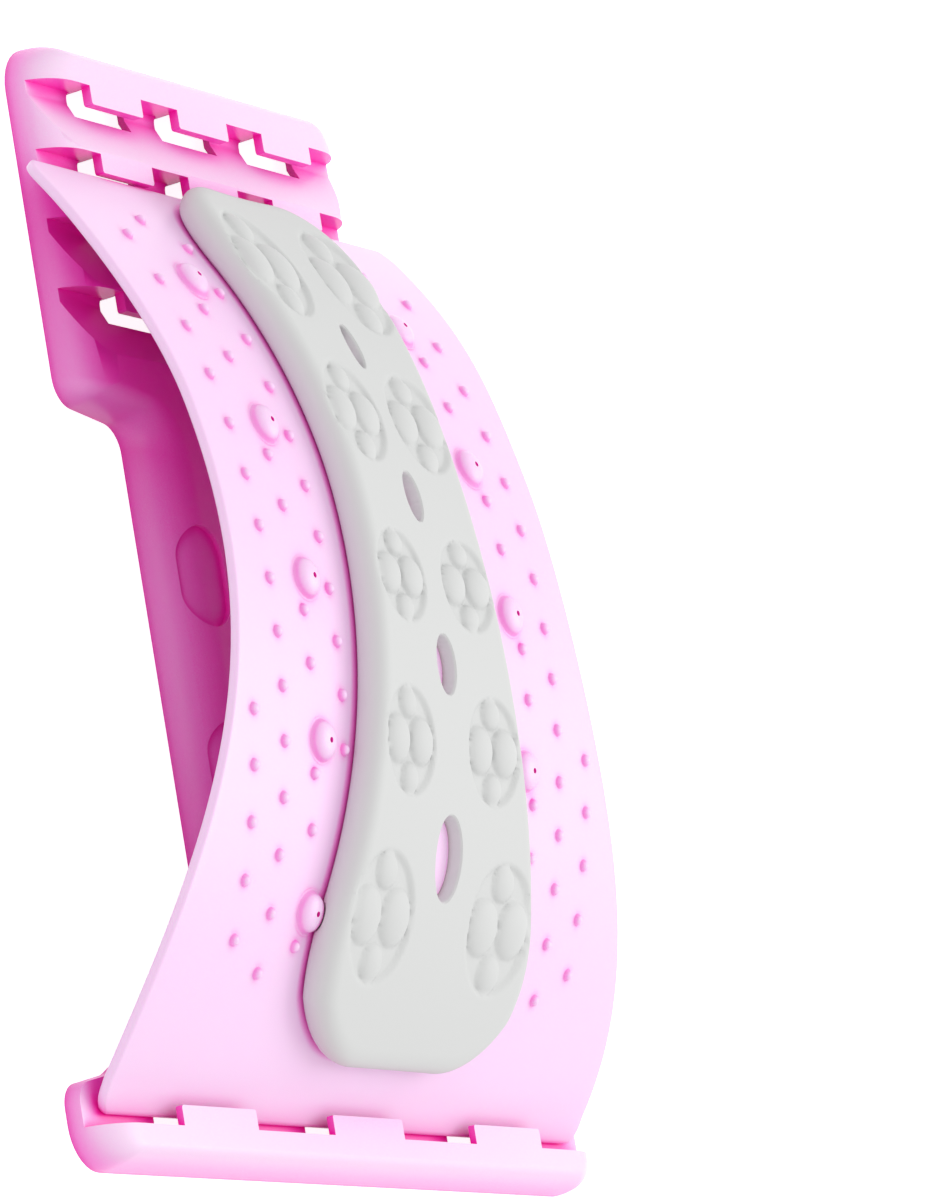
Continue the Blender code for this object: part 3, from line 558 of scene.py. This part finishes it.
def makeOpenings():
    # Each row's wall is open under its tabs
    bm = bmesh.new()
    reach = notches["tabWidth"] / 2 - notches["openingMargin"]
    for x in rowXs():
        for y in centres(notches["tabCount"], notches["tabPitch"]):
            low = (x - base["wall"] - fitGap, y - reach, -cutExtra)
            high = (x + fitGap, y + reach, baseHeight - notches["tabThickness"])
            roundedBlock(bm, low, high, 0, corners=(False,) * 4)
    return makePiece("toolOpenings", bm)


def makeTabs():
    bm = bmesh.new()
    root = notches["tabRoot"]  # how deep a tab starts inside its wall
    for x in rowXs():
        for y in centres(notches["tabCount"], notches["tabPitch"]):
            low = (x - root, y - notches["tabWidth"] / 2, baseHeight - notches["tabThickness"])
            high = (x + notches["tabReach"], y + notches["tabWidth"] / 2, baseHeight)
            roundedBlock(bm, low, high, notches["tabRadius"], corners=(False, True, True, False))
    tipX, lowZ = footWallX - footGroove["tabReach"], baseHeight - footGroove["tabThickness"]
    for y in centres(footGroove["tabCount"], footGroove["tabPitch"]):
        low = (tipX, y - footGroove["tabWidth"] / 2, lowZ)
        high = (footWallX + root, y + footGroove["tabWidth"] / 2, baseHeight)
        roundedBlock(bm, low, high, notches["tabRadius"], corners=(True, False, False, True))
    return makePiece("toolTabs", bm)


def waistZ(y):
    # Height of the middle web's upper face, which falls away at its sides
    inset = base["waistWidth"] / 2 - abs(y)
    cosine = 1 - min(max(inset / base["sideRoll"], 0.0), 1.0)
    return base["rim"] + (baseHeight - base["rim"]) * math.sqrt(1 - cosine * cosine)


def makeReliefs():
    # Stadium shaped reliefs whose floor follows the web's face, cut in slices across it
    bm = bmesh.new()
    radius = base["reliefWidth"] / 2
    straight = base["reliefLength"] / 2 - radius
    slices, tip = base["reliefSlices"], base["reliefTip"]
    for station in base["reliefStations"]:
        x = headX + station
        for side in (-1, 1):
            rings = []
            for k in range(slices + 1):
                dy = -radius * math.cos(math.pi * (k + tip) / (slices + 2 * tip))
                reach = straight + math.sqrt(radius * radius - dy * dy)
                y = side * base["reliefOffset"] + dy
                low, high = waistZ(y) - base["reliefDepth"], waistZ(y) + cutExtra
                corners = ((-reach, low), (reach, low), (reach, high), (-reach, high))
                rings.append([(x + dx, y, z) for dx, z in corners])
            skin(bm, rings)
    return makePiece("toolReliefs", bm)


def makeBase():
    piece = rolledSolid("baseMoulding", 0.0, 0.0)
    combine(piece, makeGrooves(), "DIFFERENCE")
    combine(piece, makeUnderside(), "DIFFERENCE")
    combine(piece, makeHoles(), "DIFFERENCE")
    combine(piece, makeOpenings(), "DIFFERENCE")
    combine(piece, makeTabs(), "UNION")
    combine(piece, makeReliefs(), "DIFFERENCE")
    settle(piece)
    bevel = piece.modifiers.new("moulded edges", "BEVEL")
    bevel.width = base["edgeBevel"]
    bevel.segments = base["bevelSteps"]
    bevel.limit_method = "ANGLE"
    bevel.angle_limit = math.radians(base["bevelAngle"])
    bevel.use_clamp_overlap = True
    piece.modifiers.new("even shading", "WEIGHTED_NORMAL").keep_sharp = True
    piece.data.materials.append(baseAbs)
    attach(piece, "base")
    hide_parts("base")


makeBase()
print("base made")


# Domes and nubs on the board
domes = {
    "count": 5, "pitch": 0.0551, "first": 0.0924, "offset": 0.070,
    "radius": 0.0070, "height": 0.0040, "fillet": 0.0012, "arcs": 9, "roundness": 0.75, "steps": 40,
    "vent": 0.0010, "ventSteps": 20, "magnetRadius": 0.0040, "roof": 0.0030,
}
nubs = {
    "step": 0.00912, "first": 0.0682, "rows": 30, "columns": 4, "columnPitch": 0.0194, "firstOffset": 0.0556,
    "radius": 0.0021, "height": 0.0021, "fillet": 0.0006, "arcs": 5, "roundness": 0.9, "steps": 18,
    "padMargin": 0.0004, "edgeMargin": 0.012,
}
# Where a dome or nub meets the board, and the small flat at its tip
raised = {"root": 0.0008, "toeDrop": 0.00003, "toeRise": 0.00008, "toeShare": 0.35, "tipShare": 0.35}
pad = {
    "thickness": 0.0118, "dish": 0.0014, "start": 0.0520, "end": 0.3560,
    "headWidth": 0.098, "waistWidth": 0.081, "footWidth": 0.145,
    "headStation": 0.075, "waistStation": 0.160, "footStation": 0.330,
    "headRadius": 0.030, "footRadius": 0.048, "roll": 0.0066, "drawIn": 0.0030, "bulge": 0.45,
    "headFlare": (1.5, 1.15), "footFlare": (1.9, 1.05), "spacing": 0.00075, "edgeSteps": 9, "sideSteps": 4,
}
# Station, offset from the middle, length, width, head to foot
flowers = (
    (0.0865, 0.0267, 0.0430, 0.0380),
    (0.1417, 0.0213, 0.0370, 0.0350),
    (0.1995, 0.0223, 0.0330, 0.0330),
    (0.2550, 0.0285, 0.0370, 0.0344),
    (0.3108, 0.0400, 0.0420, 0.0420),
)
# A recess with knobs in it; the knobs are given as shares of its half length and half width, with their rise
flower = {
    "depth": 0.0015, "edge": 0.0020, "fullness": 0.62,
    "knobs": (
        (0.0, -0.47, 0.44, 0.46, 0.0018), (0.0, 0.47, 0.44, 0.46, 0.0018),
        (-0.67, 0.0, 0.29, 0.33, 0.0011), (0.67, 0.0, 0.29, 0.33, 0.0011),
    ),
}
# Station, length, width, head to foot
slots = (
    (0.1150, 0.0165, 0.0070),
    (0.1700, 0.0175, 0.0095),
    (0.2280, 0.0200, 0.0120),
    (0.2910, 0.0270, 0.0170),
)
slotForm = {
    "sides": 48, "taper": 0.0003,
    "rim": ((0.0009, 0.0), (0.0003, 0.0002), (0.0, 0.0006), (-0.003, 0.0022)),  # depth under the face, growth
}
boss = {"height": 0.0058, "edge": 0.0003}  # the board's raised ovals inside the slots
padStartX, padEndX = stationX(pad["start"]), stationX(pad["end"])


def padSideWidth(x):
    # Half width of the pad before its end corners are rounded
    station, waist = stationOf(x), pad["waistWidth"] / 2
    if station < pad["waistStation"]:
        power, limit = pad["headFlare"]
        share = (pad["waistStation"] - station) / (pad["waistStation"] - pad["headStation"])
        return waist + (pad["headWidth"] / 2 - waist) * min(share, limit) ** power
    power, limit = pad["footFlare"]
    share = (station - pad["waistStation"]) / (pad["footStation"] - pad["waistStation"])
    return waist + (pad["footWidth"] / 2 - waist) * min(share, limit) ** power


def padHalfWidth(x):
    width = padSideWidth(x) - cornerLoss(x - padStartX, pad["headRadius"])
    return width - cornerLoss(padEndX - x, pad["footRadius"])


def domePlaces():
    for i in range(domes["count"]):
        for y in (-domes["offset"], domes["offset"]):
            yield stationX(domes["first"] + i * domes["pitch"]), y


def nubPlaces():
    for row in range(nubs["rows"]):
        x = stationX(nubs["first"] + row * nubs["step"])
        for column in range(nubs["columns"]):
            offset = nubs["firstOffset"] + column * nubs["columnPitch"]
            near = min(math.hypot(x - dx, offset - abs(dy)) for dx, dy in domePlaces())
            if (row + column) % 2 == 0 or near < domes["radius"] + nubs["radius"]:
                continue
            if offset < padHalfWidth(x) + nubs["radius"] + nubs["padMargin"]:
                continue
            if offset > boardHalfWidth(x) - nubs["edgeMargin"]:
                continue
            yield x, offset
            yield x, -offset


def turnedShape(bm, x, y, profile, steps):
    # A shape turned about the board's normal, from a profile of radius and height over the board's face
    normal = boardNormal(x)
    along, across = Vector((normal.z, 0.0, -normal.x)), Vector((0.0, 1.0, 0.0))
    centre = onBoard(x, y, half)
    turn = [2 * math.pi * j / steps for j in range(steps)]
    rings = []
    for radius, height in profile:
        rings.append([
            centre + normal * height + (along * math.cos(a) + across * math.sin(a)) * radius for a in turn
        ])
    skin(bm, rings)


def slotRing(station, radiusX, radiusY, level):
    sides = slotForm["sides"]
    turn = [2 * math.pi * j / sides for j in range(sides)]
    x = stationX(station)
    return [onBoard(x + radiusX * math.cos(a), radiusY * math.sin(a), level) for a in turn]


def raisedProfile(form, grow=0.0):
    # From below the face, out to a fillet that meets it softly, and over the top
    radius, height, fillet = form["radius"] + grow, form["height"] + grow, form["fillet"]
    profile = [(radius + fillet, -raised["root"]), (radius + fillet, -raised["toeDrop"])]
    profile.append((radius + fillet * raised["toeShare"], raised["toeRise"]))
    for k in range(1, form["arcs"] + 1):
        angle = math.pi / 2 * k / (form["arcs"] + raised["tipShare"])
        profile.append((radius * math.cos(angle) ** form["roundness"], height * math.sin(angle)))
    return profile


def boardSection(x, w, h):
    # A slab's outline with rounded edges, w to each side and h up and down
    r = min(board["edgeRadius"], h * 0.9)  # the ends' last sections are thin
    points = []
    for side, level, start in ((1, -1, 270), (1, 1, 0), (-1, 1, 90), (-1, -1, 180)):
        for k in range(board["edgeSteps"] + 1):
            angle = math.radians(start + 90 * k / board["edgeSteps"])
            points.append((side * (w - r) + r * math.cos(angle), level * (h - r) + r * math.sin(angle)))
        if (side, level) in ((1, 1), (-1, -1)):
            for k in range(1, board["stepsAcross"]):
                y = (w - r) * (1 - 2 * k / board["stepsAcross"]) * level
                points.append((y, level * h))
    return [onBoard(x, y, level) for y, level in points]


def makeBoardShell():
    bm = bmesh.new()
    sections = []
    for k in range(board["edgeSteps"]):
        angle = math.pi / 2 * k / board["edgeSteps"]
        inset = board["edgeRadius"] * (1 - math.sin(angle))
        h = half - board["edgeRadius"] * (1 - math.cos(math.pi / 2 - angle))
        x = boardStartX + board["edgeRadius"] - board["edgeRadius"] * math.cos(angle)
        sections.append((x, boardHalfWidth(x) - inset, h))
    start, near = boardStartX + board["edgeRadius"], board["headCorner"] - board["edgeRadius"]
    steps = board["cornerSteps"]
    xs = [start + near * (k / steps) ** 1.5 for k in range(steps)]  # closer together at the corner's tip
    start, steps = start + near, board["stepsAlong"]
    xs += [start + (straightX - start) * k / steps for k in range(steps + 1)]
    steps = board["noseSteps"]
    xs += [straightX + (noseX - straightX) * k / steps for k in range(1, steps + 1)]
    sections += [(x, boardHalfWidth(x), half) for x in xs]
    for k in range(1, board["tipSteps"]):
        angle = math.pi / 2 * k / board["tipSteps"]
        x = noseX + half * math.sin(angle)
        sections.append((x, boardHalfWidth(x), half * math.cos(angle)))
    skin(bm, [boardSection(*section) for section in sections])
    return makePiece("archBoardMoulding", bm)


def makeBoard():
    piece = makeBoardShell()
    bm = bmesh.new()
    for x, y in domePlaces():
        turnedShape(bm, x, y, raisedProfile(domes), domes["steps"])
    for x, y in nubPlaces():
        turnedShape(bm, x, y, raisedProfile(nubs), nubs["steps"])
    combine(piece, makePiece("toolDomes", bm), "UNION", "MANIFOLD")

    # A raised oval stands in each slot of the pad
    bm = bmesh.new()
    gap, high = 2 * fitGap, half + boss["height"]
    levels = ((half - raised["root"], gap), (high - boss["edge"], gap), (high, gap + boss["edge"]))
    for station, length, width in slots:
        skin(bm, [slotRing(station, length / 2 - inset, width / 2 - inset, level) for level, inset in levels])
    combine(piece, makePiece("toolBosses", bm), "UNION", "MANIFOLD")

    # The magnets' seats from below, and the vents over them
    bm = bmesh.new()
    magnetTop, seat = domes["height"] - domes["roof"], domes["magnetRadius"] + fitGap
    for x, y in domePlaces():
        turnedShape(bm, x, y, [(seat, -2 * half - cutExtra), (seat, magnetTop + fitGap)], domes["steps"])
    combine(piece, makePiece("toolSeats", bm), "DIFFERENCE", "MANIFOLD")
    bm = bmesh.new()
    vent = [(domes["vent"], magnetTop), (domes["vent"], domes["height"] + cutExtra)]
    for x, y in domePlaces():
        turnedShape(bm, x, y, vent, domes["ventSteps"])
    combine(piece, makePiece("toolVents", bm), "DIFFERENCE", "MANIFOLD")
    settle(piece, smoothAngle=40)
    piece.data.materials.clear()
    piece.data.materials.append(boardAbs)
    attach(piece, "board")
    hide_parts("arch_board")


makeBoard()
print("board made")


# Foam pad

def edgeDistance(x, y):
    # How far inside the pad's outline a point lies, with its end corners rounded
    fromSide = padSideWidth(x) - abs(y)
    for endX, radius, way in ((padStartX, pad["headRadius"], 1), (padEndX, pad["footRadius"], -1)):
        fromEnd = (x - endX) * way
        if fromEnd < radius and fromSide < radius:
            return radius - math.hypot(radius - fromEnd, radius - fromSide)
    return min(fromSide, x - padStartX, padEndX - x)


def flowerHeight(x, y):
    # The knobs stand in a shallow oval recess and rise a little over the pad
    for station, offset, length, width in flowers:
        a, b = (x - stationX(station)) / (length / 2), (abs(y) - offset) / (width / 2)
        r = math.hypot(a, b)
        if r >= 1:
            continue
        floor = -flower["depth"] * smoothStep((1 - r) * length / 2 / flower["edge"])
        lift = 0.0
        for alongShare, acrossShare, radiusA, radiusB, rise in flower["knobs"]:
            q = math.hypot((a - alongShare) / radiusA, (b - acrossShare) / radiusB)
            if q < 1:
                lift = max(lift, (flower["depth"] + rise) * (1 - q * q) ** flower["fullness"])
        return floor + lift
    return 0.0


def padHeight(x, y):
    d = max(edgeDistance(x, y), 0.0)
    top = pad["thickness"]
    face = top - pad["dish"] * max(1 - (y / padHalfWidth(x)) ** 2, 0.0) + flowerHeight(x, y)
    if d >= pad["roll"]:
        return face
    share = math.sqrt(max(1 - (1 - d / pad["roll"]) ** 2, 0.0))
    return top * pad["bulge"] + (face - top * pad["bulge"]) * share


def spread(length):
    # Distances along a length, close together where the edge rolls over at both ends
    n = pad["edgeSteps"]
    near = [pad["roll"] * (1 - math.cos(math.pi / 2 * k / n)) for k in range(n)]
    steps = int((length - 2 * pad["roll"]) / pad["spacing"])
    middle = [pad["roll"] + (length - 2 * pad["roll"]) * k / steps for k in range(steps + 1)]
    return near + middle + [length - d for d in reversed(near)]


def makePad():
    bottom = half + fitGap
    xs = [padStartX + d for d in spread(padEndX - padStartX)]
    shares = [2 * d / pad["waistWidth"] - 1 for d in spread(pad["waistWidth"])]  # of the half width
    plan = [[(x, padHalfWidth(x) * s) for s in shares] for x in xs]
    bm = bmesh.new()
    rows = [[bm.verts.new(onBoard(x, y, bottom + padHeight(x, y))) for x, y in line] for line in plan]
    n, m = len(rows), len(shares)
    for i in range(n - 1):
        for j in range(m - 1):
            bm.faces.new((rows[i][j], rows[i + 1][j], rows[i + 1][j + 1], rows[i][j + 1]))

    # The sides go down from the upper face's outline, and draw in towards the board
    loop = [(0, j) for j in range(m)] + [(i, m - 1) for i in range(1, n)]
    loop += [(n - 1, j) for j in range(m - 2, -1, -1)] + [(i, 0) for i in range(n - 2, 0, -1)]
    upper = [rows[i][j] for i, j in loop]
    middle = Vector(((padStartX + padEndX) / 2, 0.0))
    outward = []
    for k in range(len(loop)):
        before, after = (Vector(plan[i][j]) for i, j in (loop[k - 1], loop[(k + 1) % len(loop)]))
        way = after - before
        normal = Vector((way.y, -way.x)).normalized()
        here = Vector(plan[loop[k][0]][loop[k][1]])
        outward.append(normal if normal.dot(here - middle) > 0 else -normal)
    for k in range(1, pad["sideSteps"] + 1):
        share = k / pad["sideSteps"]
        inset = pad["drawIn"] * (1 - math.sqrt(max(1 - share * share, 0.0)))
        lower = []
        for index, (i, j) in enumerate(loop):
            x, y = plan[i][j]
            x, y = x - outward[index].x * inset, y - outward[index].y * inset
            lower.append(bm.verts.new(onBoard(x, y, bottom + pad["thickness"] * pad["bulge"] * (1 - share))))
        for index in range(len(loop)):
            after = (index + 1) % len(loop)
            bm.faces.new((upper[index], upper[after], lower[after], lower[index]))
        upper = lower

    # The flat underside, in strips from side to side
    ring = dict(zip(loop, upper))
    bm.faces.new([ring[(0, j)] for j in range(m)] + [ring[(1, m - 1)], ring[(1, 0)]])
    for i in range(1, n - 2):
        bm.faces.new((ring[(i, 0)], ring[(i, m - 1)], ring[(i + 1, m - 1)], ring[(i + 1, 0)]))
    bm.faces.new([ring[(n - 2, 0)], ring[(n - 2, m - 1)]] + [ring[(n - 1, j)] for j in range(m - 1, -1, -1)])
    piece = makePiece("massagePadFoam", bm, smoothAngle=60)

    bm = bmesh.new()
    top = bottom + pad["thickness"] - pad["dish"]
    levels = [(bottom - cutExtra, -slotForm["taper"])]
    levels += [(top - depth, grow) for depth, grow in slotForm["rim"]]
    for station, length, width in slots:
        skin(bm, [slotRing(station, length / 2 + grow, width / 2 + grow, level) for level, grow in levels])
    combine(piece, makePiece("toolSlots", bm), "DIFFERENCE", "MANIFOLD")

    # Pockets over the domes that the pad's edge covers
    bm = bmesh.new()
    for x, y in domePlaces():
        if domes["offset"] - domes["radius"] < padHalfWidth(x) + fitGap:
            turnedShape(bm, x, y, raisedProfile(domes, 2 * fitGap), domes["steps"])
    combine(piece, makePiece("toolPockets", bm), "DIFFERENCE", "MANIFOLD")
    settle(piece, smoothAngle=50)
    piece.data.materials.clear()
    piece.data.materials.append(padSkin)
    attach(piece, "board")
    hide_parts("massage_pad")


makePad()
print("pad made")

for name, node in frame["nodes"].items():
    if name.startswith("magnet"):
        node.data.materials.clear()
        node.data.materials.append(ferrite)
print("magnets finished")


# Studio
studio = {
    "floorSize": 14.0, "floorGap": 0.0001, "floorDiffuse": 0.80, "floorLift": 0.90, "worldFill": 0.84,
    "keySize": 1.0, "keyPower": 6.5, "keyPlace": (0.10, 0.90, 1.15),
    "sideSize": 0.9, "sidePower": 1.0, "sidePlace": (0.5, -1.4, 0.9),
}


def cameraSees(tree):
    # 1 for rays from the camera and for those that gloss and clear parts send on
    path = addNode(tree, "ShaderNodeLightPath")
    first = addNode(tree, "ShaderNodeMath", {"operation": "MAXIMUM"})
    tree.links.new(path.outputs["Is Camera Ray"], first.inputs[0])
    tree.links.new(path.outputs["Is Glossy Ray"], first.inputs[1])
    both = addNode(tree, "ShaderNodeMath", {"operation": "MAXIMUM"})
    tree.links.new(first.outputs["Value"], both.inputs[0])
    tree.links.new(path.outputs["Is Transmission Ray"], both.inputs[1])
    return both.outputs["Value"]


def makeFloor():
    bm = bmesh.new()
    bmesh.ops.create_grid(bm, x_segments=1, y_segments=1, size=studio["floorSize"] / 2)
    floor = makePiece("studioFloor", bm)
    floor.location.z = -studio["floorGap"]
    material, tree, output, _ = newMaterial("whitePaperSweep")
    paper = addNode(tree, "ShaderNodeBsdfDiffuse", {"Color": (*[studio["floorDiffuse"]] * 3, 1.0)})
    glow = addNode(tree, "ShaderNodeEmission", {"Color": (1.0, 1.0, 1.0, 1.0)})
    lift = addNode(tree, "ShaderNodeMath", {"operation": "MULTIPLY"})
    tree.links.new(cameraSees(tree), lift.inputs[0])
    lift.inputs[1].default_value = studio["floorLift"]
    tree.links.new(lift.outputs["Value"], glow.inputs["Strength"])
    both = addNode(tree, "ShaderNodeAddShader")
    tree.links.new(paper.outputs["BSDF"], both.inputs[0])
    tree.links.new(glow.outputs["Emission"], both.inputs[1])
    tree.links.new(both.outputs["Shader"], output.inputs["Surface"])
    floor.data.materials.append(material)


def makeWorld():
    world = bpy.data.worlds.new("studioWorld")
    world.use_nodes = True
    bpy.context.scene.world = world
    tree = world.node_tree
    tree.nodes.clear()
    output = addNode(tree, "ShaderNodeOutputWorld")
    seen = addNode(tree, "ShaderNodeMapRange", {
        "To Min": studio["worldFill"], "To Max": 1.0,
    }, {"Value": cameraSees(tree)})
    sky = addNode(tree, "ShaderNodeBackground", {
        "Color": (1.0, 1.0, 1.0, 1.0),
    }, {"Strength": seen.outputs["Result"]})
    tree.links.new(sky.outputs["Background"], output.inputs["Surface"])


def makeLamp(name, place, size, power):
    lamp = bpy.data.lights.new(name, "AREA")
    lamp.shape = "DISK"
    lamp.size = size
    lamp.energy = power
    item = bpy.data.objects.new(name, lamp)
    item.location = place
    item.rotation_euler = (Vector(place)).to_track_quat("Z", "Y").to_euler()
    bpy.context.scene.collection.objects.link(item)


makeFloor()
makeWorld()
makeLamp("keyLamp", studio["keyPlace"], studio["keySize"], studio["keyPower"])
makeLamp("sideLamp", studio["sidePlace"], studio["sideSize"], studio["sidePower"])

# Camera, on the photograph's line of sight; the object lies on its side in the picture
view = {
    "place": (0.5265, -2.2384, 1.2825),
    "right": (0.1653, 0.4929, 0.8543), "down": (0.9660, 0.0936, -0.2409), "ahead": (-0.1987, 0.8651, -0.4606),
    "focalPixels": 7556.66, "frameHeight": 1200, "sensor": 36.0,
}
camera = bpy.data.cameras.new("camera")
camera.sensor_fit = "VERTICAL"
camera.sensor_width = camera.sensor_height = view["sensor"]
camera.lens = view["focalPixels"] / view["frameHeight"] * view["sensor"]
camera.dof.use_dof = False
cameraItem = bpy.data.objects.new("camera", camera)
columns = Matrix((view["right"], [-v for v in view["down"]], [-v for v in view["ahead"]])).transposed()
cameraItem.matrix_world = Matrix.Translation(view["place"]) @ columns.to_4x4()
bpy.context.scene.collection.objects.link(cameraItem)
bpy.context.scene.camera = cameraItem
bpy.context.scene.view_settings.view_transform = "Standard"
print("studio and camera set")
